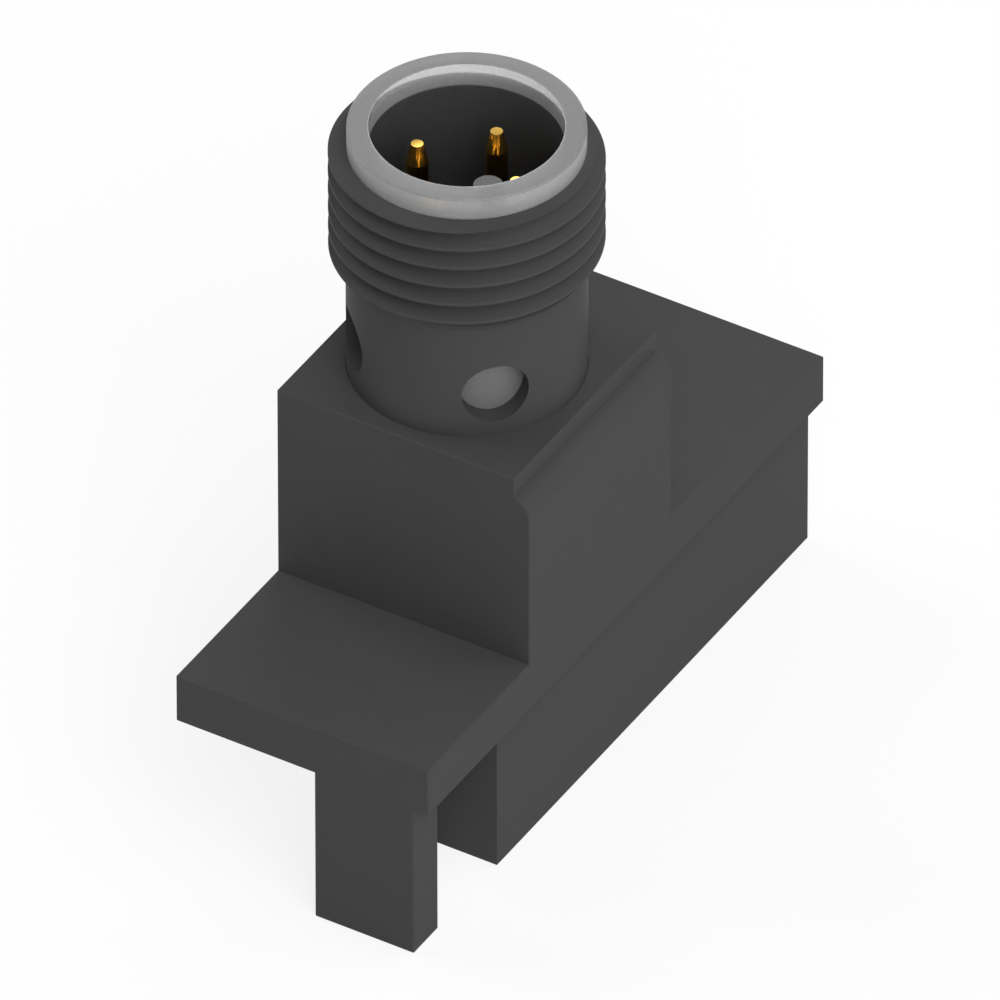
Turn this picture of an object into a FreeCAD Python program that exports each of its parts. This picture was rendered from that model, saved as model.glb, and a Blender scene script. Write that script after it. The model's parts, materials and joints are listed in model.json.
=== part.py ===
import FreeCAD, Part
import math
import os

from FreeCAD import Vector

# Magnetic field sensor for a slotted cylinder or gripper body. Its key drops into a five millimetre
# slot, its plate lies on the surface beside the slot, and a plug screws onto the round connector
# that stands in the block. Lengths are millimetres.
# X runs across the slot, Y along it towards the rear, and Z up. The origin lies where the
# connector's axis crosses the underside of the plate.

# Plate, block and ledge
PLATE_THICKNESS = 2.5
PLATE_FRONT = 14.5
PLATE_REAR = 19.0
BLOCK_HEIGHT = 10.0
BLOCK_WALL = 0.73
LEDGE_WIDTH = 0.75
LEDGE_DROP = 1.0
LEDGE_ROUND = 1.0
EDGE_BREAK = 0.05

# Key and front tab under the plate
KEY_WIDTH = 5.0
KEY_DEPTH = 8.0
TAB_LENGTH = 2.0
KEY_GAP = 5.0
KEY_ROOT_ROUND = 0.4

# Hollow of the housing
KEY_WALL = 0.8
ROOF_THICKNESS = 1.0
RAIL_HEIGHT = 0.5
RAIL_WIDTH = 0.5
WELL_MARGIN = 0.9
FIT_CLEARANCE = 0.02
SLIP_CLEARANCE = 0.05

# What counts as one smooth surface, in radians, how far beside an edge the material is felt, and
# how closely two lengths agree
SMOOTH_ANGLE = 0.3
PROBE_STEP = 0.01
SAME_LENGTH = 0.0001

# Plug that closes the rear end of the key
PLUG_LIP = 0.4
PLUG_FLANGE = 0.8
PLUG_NECK = 1.2

# Connector tube
TUBE_DIAMETER = 10.5
TUBE_HEIGHT = 11.9
TUBE_SEAT_DEPTH = 6.0
TUBE_WALL = 0.9
TUBE_FOOT_WALL = 0.65
TUBE_RIM_WALL = 0.35
THREAD_DIAMETER = 12.0
THREAD_LENGTH = 5.3
THREAD_TOP_BEVEL = 0.15
THREAD_FOOT_BEVEL = 0.38
THREAD_NECK_DIAMETER = 10.92
THREAD_NECK_TAPER = 0.37
LINING_DEPTH = 7.9

# Windows for the indicator lights
WINDOW_DIAMETER = 3.0
WINDOW_HEIGHT = 2.2
WINDOW_ANGLES = (-135.0, -45.0, 45.0, 135.0)

# Translucent light guide, which is also the contact carrier
RING_LAP = 0.3
RING_HEIGHT = 1.05
RING_EDGE = 0.08
CHAMBER_DIAMETER = 8.5
CHAMBER_DEPTH = 8.9
GUIDE_SINK = 2.0
CODE_RIB_RADIUS = 0.65
CODE_RIB_CIRCLE = 3.85
CODE_RIB_SETBACK = 0.3
CODE_RIB_ANGLE = -45.0

# Contact pins
PIN_CIRCLE = 2.5
PIN_ANGLES = (0.0, 90.0, 180.0, 270.0)
PIN_DIAMETER = 1.0
PIN_TIP_DIAMETER = 0.54
PIN_TAPER = 0.95
PIN_SETBACK = 2.0
PIN_COLLAR_DIAMETER = 1.5
PIN_TAIL_DIAMETER = 0.7
PIN_TAIL_STANDOUT = 0.3

# Connector board with its lights
CONNECTOR_BOARD_THICKNESS = 0.8
LED_CIRCLE = 3.2
LED_LENGTH = 1.6
LED_WIDTH = 0.8
LED_HEIGHT = 0.6
LED_LENS_LENGTH = 1.1
LED_LENS_HEIGHT = 0.35
LED_CLEARANCE = 0.1

# Sensor board, standing in the key
SENSOR_BOARD_THICKNESS = 0.8
SENSOR_BOARD_END_GAP = 0.2
SENSOR_BOARD_TOP_GAP = 0.1

# Flexible strip between the two boards
FLEX_THICKNESS = 0.15
FLEX_WIDTH = 2.0
FLEX_PAD = 1.8
FLEX_INSET = 0.5
FLEX_STRAIGHT = 1.0
FLEX_BEND = 0.2
FLEX_LAP = 0.25

# Components of the sensor board: width across the leads, length and height
SMALL_CHIP = (1.6, 2.9, 0.85)
DRIVER_CHIP = (2.2, 3.0, 0.85)
DIODE_BODY = (2.8, 1.6, 0.85)
LEAD_REACH = 0.5
LEAD_THICKNESS = 0.17
CHIP_BEVEL = 0.11
PROCESSOR_SIDE = 4.0
PROCESSOR_HEIGHT = 0.8
PROCESSOR_FOOT = 0.25
PROCESSOR_STEP = 0.1

# Capacitors and resistors: length, width, height, length of a metal end and its stand-out
CAPACITOR = (2.0, 1.25, 0.85, 0.4, 0.05)
RESISTOR = (1.6, 0.8, 0.45, 0.32, 0.03)

# Leads of the components: their width, and how many there are along each side
SMALL_CHIP_LEAD = 0.4
SMALL_CHIP_LEAD_COUNT = 3
DRIVER_CHIP_LEAD = 0.6
DRIVER_CHIP_LEAD_COUNT = 2
DIODE_LEAD = 0.9
DIODE_LEAD_COUNT = 1

# Places of the components, along the board from its middle and up from its lower edge
FIELD_SENSOR_PLACE = (7.0, 2.1)
PROCESSOR_PLACE = (1.0, 4.2)
REGULATOR_PLACE = (-4.6, 3.8)
DRIVER_PLACE = (6.4, 4.4)
POLARITY_DIODE_PLACE = (2.0, 4.2)
SURGE_SUPPRESSOR_PLACE = (-1.0, 4.2)
CAPACITOR_PLACES = ((-8.3, 2.2), (-8.3, 4.2), (-8.3, 6.2))
RESISTOR_PLACES = ((-6.0, 2.0), (-6.0, 3.6), (-6.0, 5.2), (-6.0, 6.8))

# Places worked out from the sizes above
TUBE_RADIUS = TUBE_DIAMETER / 2
SOCKET_RADIUS = TUBE_RADIUS + FIT_CLEARANCE
BLOCK_HALF = SOCKET_RADIUS + BLOCK_WALL
PLATE_LEFT = -BLOCK_HALF
PLATE_RIGHT = BLOCK_HALF + LEDGE_WIDTH
PLATE_TOP = PLATE_THICKNESS
BLOCK_TOP = PLATE_TOP + BLOCK_HEIGHT
TUBE_TOP = BLOCK_TOP + TUBE_HEIGHT
TUBE_FOOT = BLOCK_TOP - TUBE_SEAT_DEPTH
RING_TOP = TUBE_TOP + RING_HEIGHT
THREAD_FOOT = TUBE_TOP - THREAD_LENGTH
LINING_FOOT = TUBE_TOP - LINING_DEPTH
CHAMBER_FLOOR = RING_TOP - CHAMBER_DEPTH
GUIDE_FOOT = BLOCK_TOP - GUIDE_SINK

KEY_RIGHT = BLOCK_HALF
KEY_LEFT = KEY_RIGHT - KEY_WIDTH
TAB_REAR = TAB_LENGTH - PLATE_FRONT
KEY_FRONT = TAB_REAR + KEY_GAP
CAVITY_LEFT = KEY_LEFT + KEY_WALL
CAVITY_RIGHT = KEY_RIGHT - KEY_WALL
CAVITY_FRONT = KEY_FRONT + KEY_WALL
CAVITY_FLOOR = KEY_WALL - KEY_DEPTH
CAVITY_ROOF = PLATE_TOP - ROOF_THICKNESS
WELL_FLOOR = CAVITY_ROOF - RAIL_HEIGHT
WELL_RADIUS = TUBE_RADIUS - WELL_MARGIN
NECK_FRONT = PLATE_REAR - PLUG_FLANGE - PLUG_NECK

TUBE_BORE = TUBE_RADIUS - TUBE_WALL
TUBE_FOOT_BORE = TUBE_RADIUS - TUBE_FOOT_WALL
TUBE_RIM_BORE = TUBE_RADIUS - TUBE_RIM_WALL
RING_RADIUS = TUBE_RIM_BORE + RING_LAP
CHAMBER_RADIUS = CHAMBER_DIAMETER / 2
GUIDE_RADIUS = TUBE_BORE - FIT_CLEARANCE
LINING_RADIUS = TUBE_RIM_BORE - FIT_CLEARANCE

CONNECTOR_BOARD_TOP = GUIDE_FOOT - LED_HEIGHT - LED_CLEARANCE
CONNECTOR_BOARD_FOOT = CONNECTOR_BOARD_TOP - CONNECTOR_BOARD_THICKNESS
CONNECTOR_BOARD_RADIUS = TUBE_FOOT_BORE - SLIP_CLEARANCE

BOARD_MIDDLE = (CAVITY_LEFT + CAVITY_RIGHT) / 2
BOARD_LEFT = BOARD_MIDDLE - SENSOR_BOARD_THICKNESS / 2
BOARD_RIGHT = BOARD_MIDDLE + SENSOR_BOARD_THICKNESS / 2
BOARD_FRONT = CAVITY_FRONT + SENSOR_BOARD_END_GAP
BOARD_REAR = NECK_FRONT - SENSOR_BOARD_END_GAP
BOARD_FOOT = CAVITY_FLOOR
BOARD_TOP = CAVITY_ROOF - SENSOR_BOARD_TOP_GAP
BOARD_CENTRE = (BOARD_FRONT + BOARD_REAR) / 2


def box(low, high):
    """An upright box between its lowest and its highest corner."""
    size = [high[i] - low[i] for i in range(3)]
    return Part.makeBox(size[0], size[1], size[2], Vector(*low))


def cylinder(radius, foot, top, x=0.0, y=0.0):
    """An upright cylinder between two heights."""
    return Part.makeCylinder(radius, top - foot, Vector(x, y, foot))


def turned(profile):
    """A solid turned about the Z axis from (radius, height) corners, taken in order."""
    corners = [Vector(radius, 0, height) for radius, height in profile]
    face = Part.Face(Part.makePolygon(corners + corners[:1]))
    return face.revolve(Vector(0, 0, 0), Vector(0, 0, 1), 360)


def on_circle(radius, angle):
    """The X and Y of a place on a circle about the Z axis, with the angle in degrees."""
    turn = math.radians(angle)
    return radius * math.cos(turn), radius * math.sin(turn)


def fused(shapes):
    """One solid from shapes that overlap or share a face."""
    return shapes[0].fuse(shapes[1:]).removeSplitter()


def rounded(shape, radius, wanted):
    """The shape with a round on each edge for which wanted is true."""
    edges = [edge for edge in shape.Edges if wanted(edge)]
    return shape.makeFillet(radius, edges)


def is_sharp_corner(shape, edge):
    """True for an edge where two faces meet at an angle and the material lies inside it."""
    middle = edge.valueAt((edge.FirstParameter + edge.LastParameter) / 2)
    normals = []
    for face in shape.ancestorsOfType(edge, Part.Face):
        normals.append(face.normalAt(*face.Surface.parameter(middle)))
    if len(normals) != 2 or normals[0].getAngle(normals[1]) < SMOOTH_ANGLE:
        return False
    beside = middle + (normals[0] - normals[1]) * PROBE_STEP
    return not shape.isInside(beside, SAME_LENGTH, True)


def same(first, second):
    """True where two lengths agree."""
    return abs(first - second) < SAME_LENGTH


def runs_along(edge, axis):
    """True for a straight edge along X, Y or Z, named by its number."""
    if edge.Curve.TypeId != "Part::GeomLine":
        return False
    return same(abs(edge.Curve.Direction[axis]), 1)


def at(edge, x=None, y=None, z=None):
    """True where the middle of an edge has the given coordinates."""
    middle = edge.CenterOfMass
    given = (x, y, z)
    return all(given[i] is None or same(middle[i], given[i]) for i in range(3))


# Housing


def plate_and_keys():
    """The plate with its front tab and its rear key, rounded where the right sides meet it."""
    plate = box((PLATE_LEFT, -PLATE_FRONT, 0), (PLATE_RIGHT, PLATE_REAR, PLATE_TOP))
    tab = box((KEY_LEFT, -PLATE_FRONT, -KEY_DEPTH), (KEY_RIGHT, TAB_REAR, 0))
    key = box((KEY_LEFT, KEY_FRONT, -KEY_DEPTH), (KEY_RIGHT, PLATE_REAR, 0))
    body = fused([plate, tab, key])
    return rounded(body, KEY_ROOT_ROUND, lambda edge: runs_along(edge, 1) and at(edge, x=KEY_RIGHT, z=0))


def block():
    """The block, with a lower ledge along its right side that ends in a rounded shoulder."""
    raised = box((-BLOCK_HALF, -BLOCK_HALF, PLATE_TOP), (BLOCK_HALF, BLOCK_HALF, BLOCK_TOP))
    ledge_top = BLOCK_TOP - LEDGE_DROP
    ledge = box((-BLOCK_HALF, -BLOCK_HALF, PLATE_TOP), (PLATE_RIGHT, BLOCK_HALF, ledge_top))
    ledge = rounded(
        ledge, LEDGE_ROUND, lambda edge: runs_along(edge, 1) and at(edge, x=PLATE_RIGHT, z=ledge_top)
    )
    return fused([raised, ledge])


def key_hollow():
    """The hollow of the key, open at the rear, with the rails for the sensor board left standing."""
    hollow = box(
        (CAVITY_LEFT, CAVITY_FRONT, CAVITY_FLOOR),
        (CAVITY_RIGHT, PLATE_REAR, CAVITY_ROOF),
    )
    return hollow.cut(board_rails())


def board_rails():
    """Four rails that hold the lower and the upper edge of the sensor board."""
    inner_left = BOARD_LEFT - SLIP_CLEARANCE
    inner_right = BOARD_RIGHT + SLIP_CLEARANCE
    sides = ((inner_left - RAIL_WIDTH, inner_left), (inner_right, inner_right + RAIL_WIDTH))
    levels = ((CAVITY_FLOOR, CAVITY_FLOOR + RAIL_HEIGHT), (CAVITY_ROOF - RAIL_HEIGHT, CAVITY_ROOF))
    rails = []
    for left, right in sides:
        for foot, top in levels:
            rails.append(box((left, CAVITY_FRONT, foot), (right, NECK_FRONT, top)))
    return rails


def well():
    """The round space under the connector, which opens into the hollow of the key."""
    return cylinder(WELL_RADIUS, WELL_FLOOR, TUBE_FOOT)


def plug_seat(clearance):
    """The space of the rear plug: a neck in the hollow and a wider flange at the rear face."""
    neck = box(
        (CAVITY_LEFT + clearance, NECK_FRONT, CAVITY_FLOOR + clearance),
        (CAVITY_RIGHT - clearance, PLATE_REAR, CAVITY_ROOF - clearance),
    )
    flange = box(
        (CAVITY_LEFT - PLUG_LIP + clearance, PLATE_REAR - PLUG_FLANGE, CAVITY_FLOOR - PLUG_LIP + clearance),
        (CAVITY_RIGHT + PLUG_LIP - clearance, PLATE_REAR, CAVITY_ROOF + PLUG_LIP - clearance),
    )
    return fused([neck, flange])


def housing():
    """The moulded housing: plate, tab, key and block in one piece, hollow for the electronics."""
    body = fused([plate_and_keys(), block()])
    broken = [edge for edge in body.Edges if is_sharp_corner(body, edge) and not meets_root_end(edge)]
    body = body.makeChamfer(EDGE_BREAK, broken)
    socket = cylinder(SOCKET_RADIUS, TUBE_FOOT, BLOCK_TOP)
    return body.cut([key_hollow(), well(), socket, plug_seat(0)])


def meets_root_end(edge):
    """True for an edge that runs into the end of a round between the plate and its keys."""
    return any(is_root_end(corner.Point) for corner in edge.Vertexes)


def is_root_end(point):
    """True for a point at the end of a root round, in the gap between the tab and the key."""
    at_gap = same(point.y, KEY_FRONT) or same(point.y, TAB_REAR)
    return at_gap and point.x > KEY_RIGHT - PROBE_STEP and point.z > -KEY_ROOT_ROUND - PROBE_STEP


def end_plug():
    """The plug that closes the rear end of the key, flush with the plate's end."""
    return plug_seat(SLIP_CLEARANCE)


# Connector


def connector_tube():
    """The threaded tube seated in the block, with a stepped bore and four round windows."""
    thread_radius = THREAD_DIAMETER / 2
    neck_top = THREAD_FOOT - THREAD_FOOT_BEVEL
    profile = (
        (TUBE_FOOT_BORE, TUBE_FOOT),
        (TUBE_RADIUS, TUBE_FOOT),
        (TUBE_RADIUS, neck_top - THREAD_NECK_TAPER),
        (THREAD_NECK_DIAMETER / 2, neck_top),
        (thread_radius, THREAD_FOOT),
        (thread_radius, TUBE_TOP - THREAD_TOP_BEVEL),
        (RING_RADIUS, TUBE_TOP),
        (TUBE_RIM_BORE, TUBE_TOP),
        (TUBE_RIM_BORE, LINING_FOOT),
        (TUBE_BORE, LINING_FOOT),
        (TUBE_BORE, CONNECTOR_BOARD_TOP),
        (TUBE_FOOT_BORE, CONNECTOR_BOARD_TOP),
    )
    return turned(profile).cut([window_drill(angle) for angle in WINDOW_ANGLES])


def window_drill(angle):
    """A round cutter that reaches from the connector's axis out through the tube's wall."""
    x, y = on_circle(1, angle)
    foot = Vector(0, 0, BLOCK_TOP + WINDOW_HEIGHT)
    return Part.makeCylinder(WINDOW_DIAMETER / 2, TUBE_DIAMETER, foot, Vector(x, y, 0))


def light_guide():
    """The translucent guide: glowing ring, chamber wall, coding rib and carrier of the pins."""
    profile = (
        (0, GUIDE_FOOT),
        (GUIDE_RADIUS, GUIDE_FOOT),
        (GUIDE_RADIUS, LINING_FOOT),
        (LINING_RADIUS, LINING_FOOT),
        (LINING_RADIUS, TUBE_TOP),
        (RING_RADIUS, TUBE_TOP),
        (RING_RADIUS, RING_TOP - RING_EDGE),
        (RING_RADIUS - RING_EDGE, RING_TOP),
        (CHAMBER_RADIUS, RING_TOP),
        (CHAMBER_RADIUS, CHAMBER_FLOOR),
        (0, CHAMBER_FLOOR),
    )
    guide = fused([turned(profile), coding_rib()])
    bores = [pin_bore(angle) for angle in PIN_ANGLES]
    return guide.cut(bores)


def coding_rib():
    """The half-round rib on the chamber's wall that only lets the plug in one way round."""
    x, y = on_circle(CODE_RIB_CIRCLE, CODE_RIB_ANGLE)
    rib = cylinder(CODE_RIB_RADIUS, CHAMBER_FLOOR, RING_TOP - CODE_RIB_SETBACK, x, y)
    inside = cylinder((CHAMBER_RADIUS + LINING_RADIUS) / 2, CHAMBER_FLOOR, RING_TOP)
    return rib.common(inside)


def pin_bore(angle):
    """The hole in the guide's floor that a contact pin is pressed into."""
    x, y = on_circle(PIN_CIRCLE, angle)
    return cylinder(PIN_DIAMETER / 2 + FIT_CLEARANCE, GUIDE_FOOT, CHAMBER_FLOOR, x, y)


def contact_pin(angle):
    """A turned pin: tapered tip, shank, collar against the guide and tail through the board."""
    radius = PIN_DIAMETER / 2
    tip = RING_TOP - PIN_SETBACK
    profile = (
        (0, CONNECTOR_BOARD_FOOT - PIN_TAIL_STANDOUT),
        (PIN_TAIL_DIAMETER / 2, CONNECTOR_BOARD_FOOT - PIN_TAIL_STANDOUT),
        (PIN_TAIL_DIAMETER / 2, CONNECTOR_BOARD_TOP),
        (PIN_COLLAR_DIAMETER / 2, CONNECTOR_BOARD_TOP),
        (PIN_COLLAR_DIAMETER / 2, GUIDE_FOOT),
        (radius, GUIDE_FOOT),
        (radius, tip - PIN_TAPER),
        (PIN_TIP_DIAMETER / 2, tip),
        (0, tip),
    )
    x, y = on_circle(PIN_CIRCLE, angle)
    return turned(profile).translated(Vector(x, y, 0))


def connector_board():
    """The round board that the pins are soldered to, held up against a step in the tube."""
    board = cylinder(CONNECTOR_BOARD_RADIUS, CONNECTOR_BOARD_FOOT, CONNECTOR_BOARD_TOP)
    holes = []
    for angle in PIN_ANGLES:
        x, y = on_circle(PIN_CIRCLE, angle)
        radius = PIN_TAIL_DIAMETER / 2 + FIT_CLEARANCE
        holes.append(cylinder(radius, CONNECTOR_BOARD_FOOT, CONNECTOR_BOARD_TOP, x, y))
    return board.cut(holes)


def indicator_led(angle):
    """A light on the connector board, shining up into the guide behind one window."""
    lens_foot = CONNECTOR_BOARD_TOP + LED_HEIGHT - LED_LENS_HEIGHT
    base = box(
        (LED_CIRCLE - LED_WIDTH / 2, -LED_LENGTH / 2, CONNECTOR_BOARD_TOP),
        (LED_CIRCLE + LED_WIDTH / 2, LED_LENGTH / 2, lens_foot),
    )
    lens = box(
        (LED_CIRCLE - LED_WIDTH / 2, -LED_LENS_LENGTH / 2, lens_foot),
        (LED_CIRCLE + LED_WIDTH / 2, LED_LENS_LENGTH / 2, lens_foot + LED_LENS_HEIGHT),
    )
    return fused([base, lens]).rotated(Vector(0, 0, 0), Vector(0, 0, 1), angle)


# Electronics in the key


def sensor_board():
    """The board that stands in the key, with the field sensor near its lower edge."""
    return box((BOARD_LEFT, BOARD_FRONT, BOARD_FOOT), (BOARD_RIGHT, BOARD_REAR, BOARD_TOP))


def flex_tail():
    """The flexible strip that joins the boards: pad, S bend, straight rise and lap."""
    near = flex_side(0, FLEX_BEND)
    far = flex_side(FLEX_THICKNESS, FLEX_BEND + FLEX_THICKNESS)
    foot_end = Part.makeLine(near[0].Vertexes[0].Point, far[0].Vertexes[0].Point)
    lap_end = Part.makeLine(near[-1].Vertexes[1].Point, far[-1].Vertexes[1].Point)
    outline = Part.Wire(Part.__sortEdges__(near + far + [foot_end, lap_end]))
    strip = Part.Face(outline).extrude(Vector(0, FLEX_WIDTH, 0))
    return strip.translated(Vector(0, -FLEX_WIDTH / 2, 0))


def flex_side(shift, bend):
    """One long side of the strip, from its pad on the sensor board to its lap under the round board."""
    low_x = BOARD_LEFT - FLEX_THICKNESS + shift
    high_x = WELL_RADIUS - FLEX_INSET + shift
    bend_foot = CONNECTOR_BOARD_FOOT - FLEX_BEND - FLEX_THICKNESS
    pad_foot = Vector(low_x, 0, BOARD_TOP - FLEX_PAD)
    swing_foot = Vector(low_x, 0, BOARD_TOP)
    swing_top = Vector(high_x, 0, bend_foot - FLEX_STRAIGHT)
    bend_start = Vector(high_x, 0, bend_foot)
    centre = Vector(high_x - bend, 0, bend_foot)
    diagonal = Vector(1, 0, 1).normalize()
    bend_end = centre + Vector(0, 0, bend)
    rise = Vector(0, 0, (swing_top.z - swing_foot.z) / 2)
    swing = Part.BezierCurve()
    swing.setPoles([swing_foot, swing_foot + rise, swing_top - rise, swing_top])
    return [
        Part.makeLine(pad_foot, swing_foot),
        swing.toShape(),
        Part.makeLine(swing_top, bend_start),
        Part.Arc(bend_start, centre + diagonal * bend, bend_end).toShape(),
        Part.makeLine(bend_end, bend_end - Vector(FLEX_LAP, 0, 0)),
    ]


def on_board(shape, right_side, place):
    """Places a component, drawn flat with its foot at Z 0, on one side of the sensor board."""
    turn = 90 if right_side else -90
    face = BOARD_RIGHT if right_side else BOARD_LEFT
    standing = shape.rotated(Vector(0, 0, 0), Vector(0, 1, 0), turn)
    along, up = place
    return standing.translated(Vector(face, BOARD_CENTRE + along, BOARD_FOOT + up))


def leaded_chip(body, lead_width, lead_count):
    """A moulded chip with a bevelled lid and flat leads along two sides."""
    width, length, height = body
    shell = box((-width / 2, -length / 2, 0), (width / 2, length / 2, height))
    lid_edges = [edge for edge in shell.Edges if at(edge, z=height)]
    shapes = [shell.makeChamfer(CHIP_BEVEL, lid_edges)]
    reach = width / 2 + LEAD_REACH
    spacing = length / lead_count
    for i in range(lead_count):
        middle = (i + 0.5) * spacing - length / 2
        front = middle - lead_width / 2
        shapes.append(box((-reach, front, 0), (reach, front + lead_width, LEAD_THICKNESS)))
    return fused(shapes)


def leadless_chip(side, height, foot_height, step):
    """A square chip whose lid stands in by a small step from its foot."""
    half = side / 2
    foot = box((-half, -half, 0), (half, half, foot_height))
    lid = box((step - half, step - half, foot_height), (half - step, half - step, height))
    return fused([foot, lid])


def end_capped(length, width, height, cap, rim):
    """A capacitor or resistor: a block between two slightly larger metal ends."""
    core = box((rim - width / 2, cap - length / 2, rim), (width / 2 - rim, length / 2 - cap, height - rim))
    front = box((-width / 2, -length / 2, 0), (width / 2, cap - length / 2, height))
    rear = box((-width / 2, length / 2 - cap, 0), (width / 2, length / 2, height))
    return fused([core, front, rear])


def board_components():
    """Every component of the sensor board, by name, with its place along and up the board."""
    small_chip = leaded_chip(SMALL_CHIP, SMALL_CHIP_LEAD, SMALL_CHIP_LEAD_COUNT)
    driver = leaded_chip(DRIVER_CHIP, DRIVER_CHIP_LEAD, DRIVER_CHIP_LEAD_COUNT)
    diode = leaded_chip(DIODE_BODY, DIODE_LEAD, DIODE_LEAD_COUNT)
    processor = leadless_chip(PROCESSOR_SIDE, PROCESSOR_HEIGHT, PROCESSOR_FOOT, PROCESSOR_STEP)
    parts = {
        "field_sensor_chip": on_board(small_chip, True, FIELD_SENSOR_PLACE),
        "signal_processor": on_board(processor, False, PROCESSOR_PLACE),
        "voltage_regulator": on_board(small_chip, False, REGULATOR_PLACE),
        "output_driver": on_board(driver, False, DRIVER_PLACE),
        "polarity_diode": on_board(diode, True, POLARITY_DIODE_PLACE),
        "surge_suppressor": on_board(diode, True, SURGE_SUPPRESSOR_PLACE),
    }
    for i, place in enumerate(CAPACITOR_PLACES):
        parts[f"capacitor_{i + 1}"] = on_board(end_capped(*CAPACITOR), False, place)
    for i, place in enumerate(RESISTOR_PLACES):
        parts[f"resistor_{i + 1}"] = on_board(end_capped(*RESISTOR), True, place)
    return parts


def potting_resin(inner_parts):
    """The resin cast round the electronics, up to the underside of the connector board."""
    key_fill = key_hollow().cut(plug_seat(0))
    tube_fill = cylinder(TUBE_FOOT_BORE, TUBE_FOOT, CONNECTOR_BOARD_FOOT)
    return fused([key_fill, well(), tube_fill]).cut(inner_parts)


# All sub-parts by name


def sub_parts():
    """Every sub-part of the sensor, by the name of its file."""
    parts = {
        "housing": housing(),
        "end_plug": end_plug(),
        "connector_tube": connector_tube(),
        "light_guide": light_guide(),
        "connector_board": connector_board(),
        "sensor_board": sensor_board(),
        "flex_tail": flex_tail(),
    }
    for i, angle in enumerate(PIN_ANGLES):
        parts[f"contact_pin_{i + 1}"] = contact_pin(angle)
    for i, angle in enumerate(WINDOW_ANGLES):
        parts[f"indicator_led_{i + 1}"] = indicator_led(angle)
    parts.update(board_components())
    outside = ("housing", "end_plug", "connector_tube", "light_guide")
    inner_parts = [shape for name, shape in parts.items() if name not in outside]
    parts["potting_resin"] = potting_resin(inner_parts)
    return parts


def main():
    """Writes one STEP file for each sub-part."""
    os.makedirs("parts", exist_ok=True)
    for name, shape in sub_parts().items():
        solid = shape.Solids[0] if len(shape.Solids) == 1 else shape
        solid.exportStep(f"parts/{name}.step")
        print(name, "solids", len(shape.Solids), "volume", round(shape.Volume, 2), "valid", shape.isValid())


if __name__ == "__main__":
    main()
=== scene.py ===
"""Looks of the magnetic field sensor: a slot-mounted housing with a round threaded connector.

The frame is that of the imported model: X across the slot, Y along it to the rear, Z up, and the
origin where the connector's axis crosses the underside of the plate. Blender's unit is the metre.
Sizes of the sensor's own pieces are given in millimetres and end in their meshes as metres.
"""

import json
import logging
import math
from dataclasses import dataclass
from enum import Enum
from typing import Any, Optional, Sequence

import bmesh
import bpy
from mathutils import Matrix, Vector

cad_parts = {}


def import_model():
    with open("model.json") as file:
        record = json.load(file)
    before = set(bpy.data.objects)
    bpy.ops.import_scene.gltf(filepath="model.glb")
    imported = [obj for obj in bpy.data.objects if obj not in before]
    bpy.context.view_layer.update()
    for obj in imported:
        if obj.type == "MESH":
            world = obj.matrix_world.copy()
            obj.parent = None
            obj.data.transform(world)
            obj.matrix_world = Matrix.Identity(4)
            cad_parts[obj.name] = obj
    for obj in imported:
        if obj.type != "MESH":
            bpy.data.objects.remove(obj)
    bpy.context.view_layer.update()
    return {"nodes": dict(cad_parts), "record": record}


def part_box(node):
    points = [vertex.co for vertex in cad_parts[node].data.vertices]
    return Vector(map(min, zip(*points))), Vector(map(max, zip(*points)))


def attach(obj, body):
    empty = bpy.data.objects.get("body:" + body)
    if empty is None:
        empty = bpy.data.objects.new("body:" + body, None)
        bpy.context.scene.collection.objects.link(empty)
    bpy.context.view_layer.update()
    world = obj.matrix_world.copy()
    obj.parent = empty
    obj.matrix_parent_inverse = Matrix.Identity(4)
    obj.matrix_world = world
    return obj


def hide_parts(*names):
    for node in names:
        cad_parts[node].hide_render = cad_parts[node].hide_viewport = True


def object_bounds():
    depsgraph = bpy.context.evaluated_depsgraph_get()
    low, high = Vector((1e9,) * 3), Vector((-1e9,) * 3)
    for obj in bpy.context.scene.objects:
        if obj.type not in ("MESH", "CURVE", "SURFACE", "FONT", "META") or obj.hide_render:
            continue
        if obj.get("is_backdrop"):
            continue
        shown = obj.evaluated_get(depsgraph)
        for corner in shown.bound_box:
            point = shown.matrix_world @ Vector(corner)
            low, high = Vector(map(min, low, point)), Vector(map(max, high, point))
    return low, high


LOG = logging.getLogger("field_sensor")
BODY = "root"
MM = 0.001

Colour = tuple[float, float, float]
Corner = tuple[float, float]


class Slot(Enum):
    """The record's material slots that this scene dresses."""

    HOUSING = "housing_plastic"
    TUBE = "tube_plastic"
    GUIDE = "guide_plastic"
    PIN = "pin_gold"
    BOARD = "board_laminate"
    LED = "led_resin"
    FLEX = "flex_film"
    CHIP = "chip_mould"
    CAPACITOR = "capacitor_body"
    RESISTOR = "resistor_body"
    RESIN = "casting_resin"


# Node helpers


def add_node(
    tree: bpy.types.NodeTree, kind: str, inputs: Optional[dict] = None, **settings: Any
) -> bpy.types.Node:
    """Adds a node to a tree and fills in its inputs.

    Args:
        tree: The tree that gets the node.
        kind: The node's type, as Blender names it.
        inputs: Values or output sockets, by input name or number.
        settings: Properties of the node itself.

    Returns:
        The new node.
    """
    node = tree.nodes.new(kind)
    for name, value in settings.items():
        setattr(node, name, value)
    for key, value in (inputs or {}).items():
        if isinstance(value, bpy.types.NodeSocket):
            tree.links.new(value, node.inputs[key])
        else:
            node.inputs[key].default_value = value
    return node


def calculate(tree: bpy.types.NodeTree, operation: str, *values: Any) -> bpy.types.NodeSocket:
    """Adds a Math node.

    Args:
        tree: The tree that gets the node.
        operation: The operation, as Blender names it.
        values: Numbers or output sockets, in the node's order.

    Returns:
        The node's output.
    """
    return add_node(tree, "ShaderNodeMath", dict(enumerate(values)), operation=operation).outputs[0]


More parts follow.
